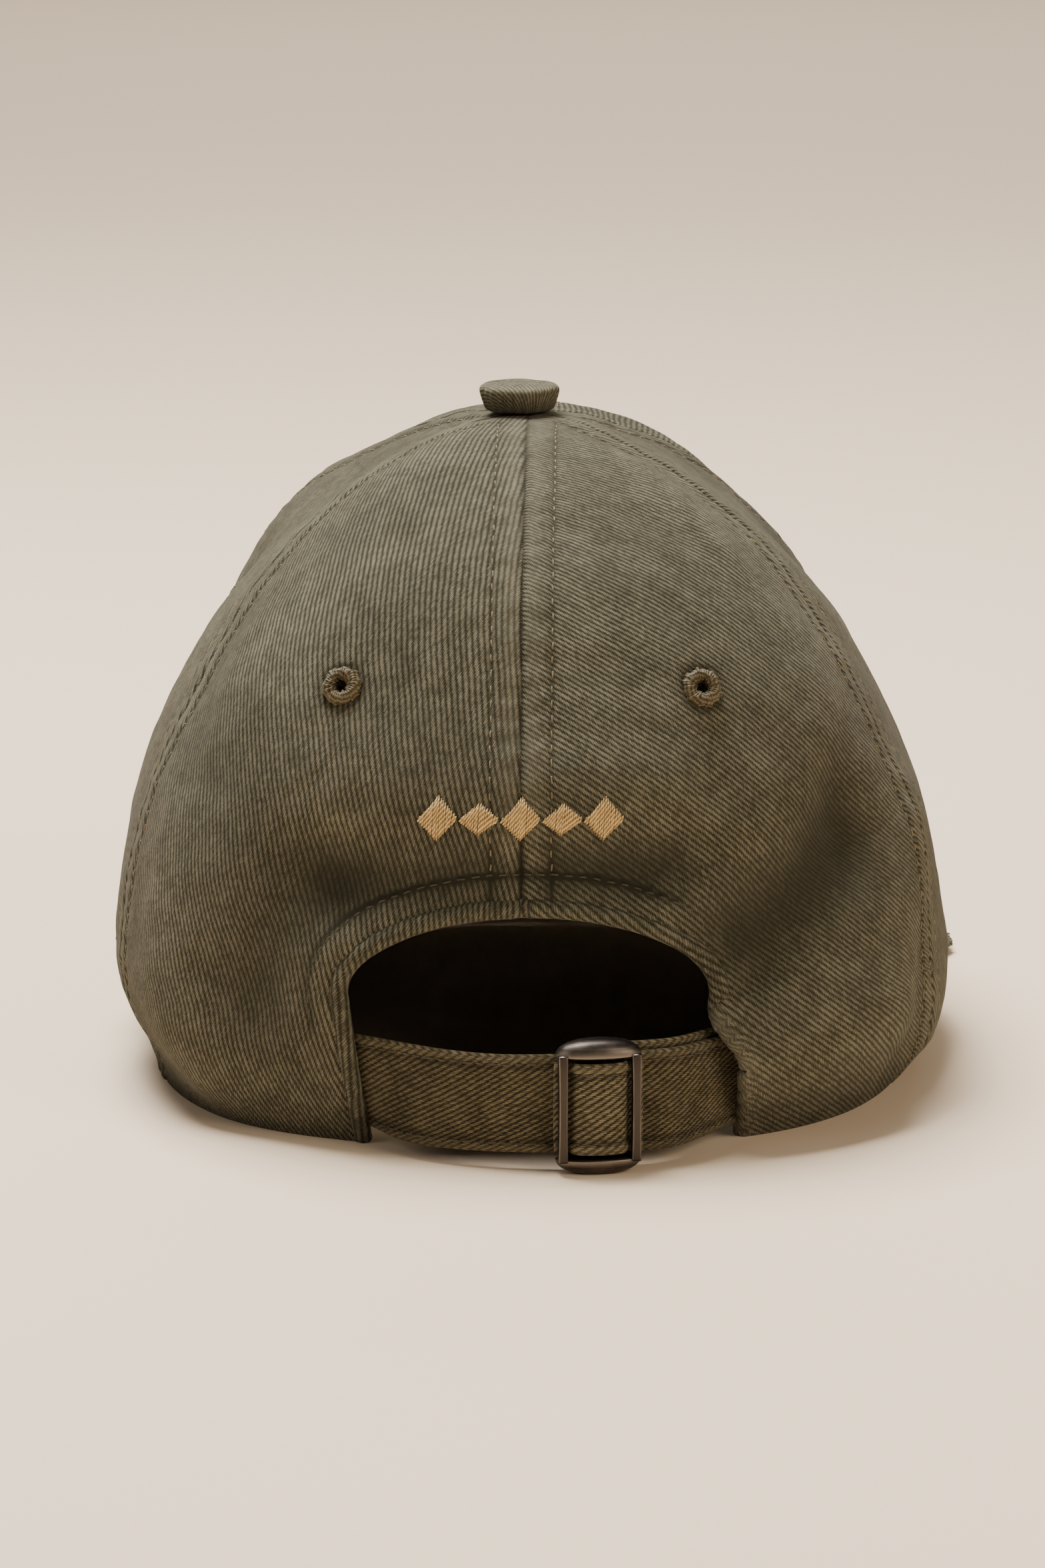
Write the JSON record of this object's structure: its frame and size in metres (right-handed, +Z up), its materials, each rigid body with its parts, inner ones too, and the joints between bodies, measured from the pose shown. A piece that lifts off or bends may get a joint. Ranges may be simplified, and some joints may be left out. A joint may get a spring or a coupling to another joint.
{
  "type": "baseball cap",
  "caption": "Soft cotton twill cap with a curved visor, stitched eyelets, a covered top button and an adjustable strap with a metal slide buckle at the back.",
  "frame": {"origin": "centre of the head opening, on the level plane that the crown's rim rests on", "axes": "+Z up through the top button, +Y forward to the visor, +X to the wearer's right"},
  "size_m": [0.194, 0.2807, 0.145],
  "materials": {
    "crown_twill": "washed olive cotton twill, matt, with a visible diagonal wale",
    "visor_twill": "washed olive cotton twill over the visor board, with rows of topstitching",
    "strap_twill": "folded olive cotton twill strap, stitched along both edges",
    "eyelet_thread": "olive embroidery thread, slightly lustrous",
    "motif_thread": "golden satin-stitch thread, lustrous",
    "seam_tape": "plain woven cotton tape",
    "sweatband_cotton": "soft cotton twill, folded and topstitched",
    "padding_foam": "thin soft padding, hidden in the sweatband",
    "buckram": "stiffened open-weave cotton",
    "label_satin": "blank woven satin label",
    "visor_board": "moulded plastic board, hidden in the visor",
    "buckle_metal": "satin gunmetal plating, worn brighter along the edges",
    "button_metal": "plain pressed metal, hidden by the cloth"
  },
  "bodies": {
    "crown": {"arch_facing": "crown_twill", "buckle_tab": "strap_twill", "button_cover": "crown_twill", "button_rivet": "button_metal", "button_shell": "button_metal", "button_washer": "button_metal", "care_label": "label_satin", "closure_strap": "strap_twill", "eyelet_front_left": "eyelet_thread", "eyelet_front_right": "eyelet_thread", "eyelet_rear_left": "eyelet_thread", "eyelet_rear_right": "eyelet_thread", "eyelet_side_left": "eyelet_thread", "eyelet_side_right": "eyelet_thread", "front_backing_left": "buckram", "front_backing_right": "buckram", "panel_back_left": "crown_twill", "panel_back_right": "crown_twill", "panel_front_left": "crown_twill", "panel_front_right": "crown_twill", "panel_side_left": "crown_twill", "panel_side_right": "crown_twill", "rear_embroidery": "motif_thread", "seam_tape_back_centre": "seam_tape", "seam_tape_front_centre": "seam_tape", "seam_tape_front_left": "seam_tape", "seam_tape_front_right": "seam_tape", "seam_tape_rear_left": "seam_tape", "seam_tape_rear_right": "seam_tape", "sweatband": "sweatband_cotton", "sweatband_padding": "padding_foam", "visor_board": "visor_board", "visor_top_cover": "visor_twill", "visor_under_cover": "visor_twill"},
    "buckle": {"buckle_frame": "buckle_metal", "buckle_bar": "buckle_metal", "strap_loop": "strap_twill"}
  },
  "joints": [
    {"name": "closure_slide", "type": "hinge", "parent": "crown", "child": "buckle", "pos_m": [0.007, -0.0485, 0.0139], "axis": [0, 0, 1], "range_deg": [-16, 3]}
  ]
}
